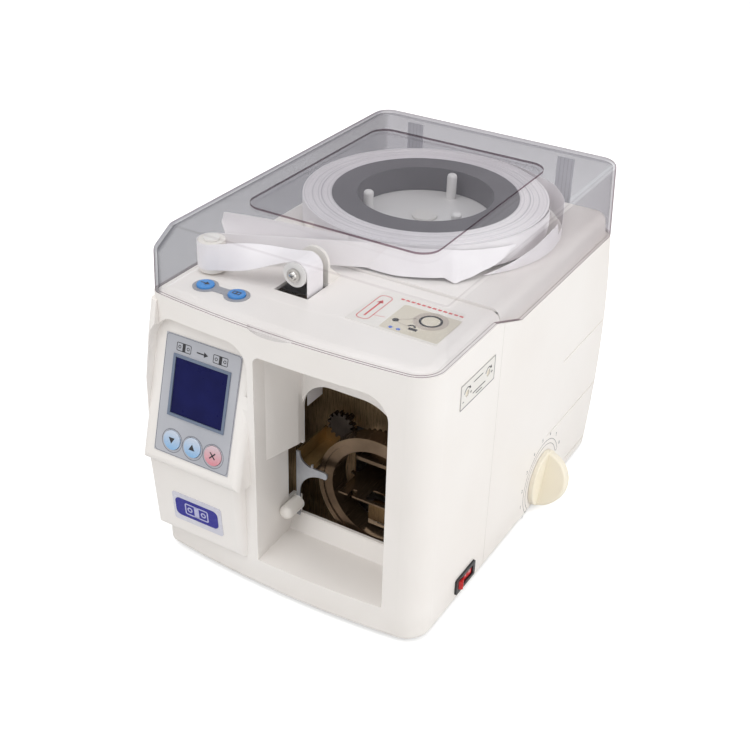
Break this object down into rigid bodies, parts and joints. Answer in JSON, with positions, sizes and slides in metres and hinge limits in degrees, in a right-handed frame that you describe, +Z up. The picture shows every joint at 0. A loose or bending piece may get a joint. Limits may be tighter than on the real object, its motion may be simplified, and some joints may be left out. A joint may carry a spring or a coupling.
{
  "type": "banknote strapping machine",
  "caption": "Counter-top machine that wraps a bundle of banknotes in paper tape: bowed casing with a note mouth and display, tape roll under a hinged clear lid.",
  "frame": {"origin": "on the counter, under the middle of the whole machine", "axes": "+Z up, +Y to the back of the machine, +X to its right side with the dial"},
  "size_m": [0.254, 0.356, 0.2765],
  "materials": {
    "ivory_plastic": "gloss moulded ABS",
    "smoked_acrylic": "clear smoked acrylic",
    "zinc_steel": "zinc plated",
    "bright_steel": "ground and polished",
    "rubber_black": "matt",
    "overlay_grey": "printed film",
    "bezel_grey": "satin",
    "lcd_navy": "gloss",
    "key_blue": "satin",
    "key_pink": "satin",
    "badge_blue": "gloss",
    "circuit_green": "lacquered",
    "switch_black": "satin",
    "rocker_red": "gloss",
    "button_blue": "gloss",
    "cream_plastic": "gloss",
    "white_plastic": "satin",
    "core_grey": "satin",
    "tape_paper": "coated paper",
    "black_acetal": "satin",
    "grey_sheet": "satin paint",
    "motor_can": "satin",
    "brass": "machined",
    "iron_core": "varnished"
  },
  "bodies": {
    "root": {"front_housing": "ivory_plastic", "rear_housing": "ivory_plastic", "hinge_pins": "bright_steel", "base_plate": "zinc_steel", "rubber_feet": "rubber_black", "base_screws": "zinc_steel", "display_overlay": "overlay_grey", "lcd_bezel": "bezel_grey", "lcd_display": "lcd_navy", "badge_plate": "badge_blue", "labels": "overlay_grey", "circuit_boards": "circuit_green", "trim_pots": "switch_black", "switch_bezel": "switch_black", "dial_pot": "switch_black", "roller_axles": "bright_steel", "tape_guide_post": "cream_plastic", "turn_bracket": "cream_plastic", "tape_strip": "tape_paper", "front_frame": "zinc_steel", "rear_frame": "zinc_steel", "tie_rods": "bright_steel", "gear_motors": "motor_can", "ring_track": "grey_sheet", "note_table": "grey_sheet", "note_guide": "grey_sheet", "note_stop_peg": "cream_plastic", "press_bracket": "zinc_steel", "solenoid": "motor_can", "transformer": "iron_core", "power_inlet": "switch_black"},
    "lid": {"lid": "smoked_acrylic", "hinge_leaves": "zinc_steel"},
    "reel": {"reel_seat": "white_plastic", "reel_posts": "white_plastic", "roll_core": "core_grey", "paper_roll": "tape_paper"},
    "guide_roller": {"guide_roller": "cream_plastic"},
    "turn_roller": {"turn_roller": "white_plastic"},
    "rocker": {"power_rocker": "rocker_red"},
    "dial": {"dial_shaft": "bright_steel", "dial_knob": "cream_plastic"},
    "key_down": {"key_down": "key_blue"},
    "key_up": {"key_up": "key_blue"},
    "key_clear": {"key_clear": "key_pink"},
    "button_left": {"deck_button_left": "button_blue"},
    "button_right": {"deck_button_right": "button_blue"},
    "trim_front": {"trim_screw_front": "cream_plastic"},
    "trim_back": {"trim_screw_back": "cream_plastic"},
    "ring": {"ring_rotor": "black_acetal"},
    "ring_pinion": {"ring_pinion": "bright_steel"},
    "feed_roller": {"feed_roller": "black_acetal"},
    "feed_pinion": {"feed_pinion": "bright_steel"},
    "pinch_roller": {"pinch_roller": "rubber_black"},
    "press": {"press_plate": "bright_steel"},
    "press_pinion": {"press_pinion": "bright_steel"},
    "sealer": {"heater_head": "brass", "cutter_blade": "bright_steel", "sealer_arm": "bright_steel"}
  },
  "joints": [
    {"name": "lid_hinge", "type": "hinge", "parent": "root", "child": "lid", "pos_m": [-0.012, 0.16894, 0.2145], "axis": [-1, 0, 0], "range_deg": [0, 100]},
    {"name": "reel_spin", "type": "hinge", "parent": "root", "child": "reel", "pos_m": [-0.019, 0.05394, 0.236], "axis": [0, 0, 1], "continuous": true},
    {"name": "guide_roller_spin", "type": "hinge", "parent": "root", "child": "guide_roller", "pos_m": [-0.106, -0.10806, 0.246], "axis": [0, 0, 1], "continuous": true},
    {"name": "turn_roller_spin", "type": "hinge", "parent": "root", "child": "turn_roller", "pos_m": [-0.0355, -0.09506, 0.246], "axis": [0, 1, 0], "continuous": true},
    {"name": "rocker_tilt", "type": "hinge", "parent": "root", "child": "rocker", "pos_m": [0.1004, -0.08356, 0.0185], "axis": [0, 0, 1], "range_deg": [-20, 0]},
    {"name": "dial_turn", "type": "hinge", "parent": "root", "child": "dial", "pos_m": [0.103, 0.05494, 0.028], "axis": [1, 0, 0], "range_deg": [-40, 145]},
    {"name": "key_down_press", "type": "slide", "parent": "root", "child": "key_down", "axis": [0, 0.9659, -0.2588], "range_m": [0, 0.0008], "stiffness_N_per_m": 1500, "springref_m": -0.0005},
    {"name": "key_up_press", "type": "slide", "parent": "root", "child": "key_up", "axis": [0, 0.9659, -0.2588], "range_m": [0, 0.0008], "stiffness_N_per_m": 1500, "springref_m": -0.0005},
    {"name": "key_clear_press", "type": "slide", "parent": "root", "child": "key_clear", "axis": [0, 0.9659, -0.2588], "range_m": [0, 0.0008], "stiffness_N_per_m": 1500, "springref_m": -0.0005},
    {"name": "button_left_press", "type": "slide", "parent": "root", "child": "button_left", "axis": [0, 0, -1], "range_m": [0, 0.001], "stiffness_N_per_m": 1500, "springref_m": -0.0005},
    {"name": "button_right_press", "type": "slide", "parent": "root", "child": "button_right", "axis": [0, 0, -1], "range_m": [0, 0.001], "stiffness_N_per_m": 1500, "springref_m": -0.0005},
    {"name": "trim_front_turn", "type": "hinge", "parent": "root", "child": "trim_front", "pos_m": [0.103, -0.10406, 0.195], "axis": [1, 0, 0], "range_deg": [-135, 135]},
    {"name": "trim_back_turn", "type": "hinge", "parent": "root", "child": "trim_back", "pos_m": [0.103, -0.07206, 0.195], "axis": [1, 0, 0], "range_deg": [-135, 135]},
    {"name": "ring_spin", "type": "hinge", "parent": "root", "child": "ring", "pos_m": [0.036, -0.09256, 0.082], "axis": [0, 1, 0], "continuous": true},
    {"name": "ring_pinion_spin", "type": "hinge", "parent": "root", "child": "ring_pinion", "pos_m": [-0.0043, -0.09256, 0.1223], "axis": [0, 1, 0], "continuous": true},
    {"name": "feed_spin", "type": "hinge", "parent": "root", "child": "feed_roller", "pos_m": [-0.0139, -0.09506, 0.178], "axis": [0, 1, 0], "continuous": true},
    {"name": "feed_pinion_spin", "type": "hinge", "parent": "root", "child": "feed_pinion", "pos_m": [-0.00043, -0.09506, 0.2014], "axis": [0, 1, 0], "continuous": true},
    {"name": "pinch_spin", "type": "hinge", "parent": "root", "child": "pinch_roller", "pos_m": [-0.034, -0.09506, 0.178], "axis": [0, 1, 0], "continuous": true},
    {"name": "press_slide", "type": "slide", "parent": "root", "child": "press", "axis": [0, 0, -1], "range_m": [0, 0.028]},
    {"name": "press_pinion_spin", "type": "hinge", "parent": "root", "child": "press_pinion", "pos_m": [0.0515, -0.07006, 0.158], "axis": [0, 1, 0], "range_deg": [-182, 3]},
    {"name": "sealer_lift", "type": "slide", "parent": "root", "child": "sealer", "axis": [0, 0, 1], "range_m": [0, 0.004]}
  ],
  "couplings": [
    {"joint": "ring_pinion_spin", "follows": "ring_spin", "ratio": -4.4286},
    {"joint": "feed_pinion_spin", "follows": "feed_spin", "ratio": -2},
    {"joint": "pinch_spin", "follows": "feed_spin", "ratio": -1.375},
    {"joint": "press_pinion_spin", "follows": "press_slide", "rad_per_m": -111.11}
  ]
}
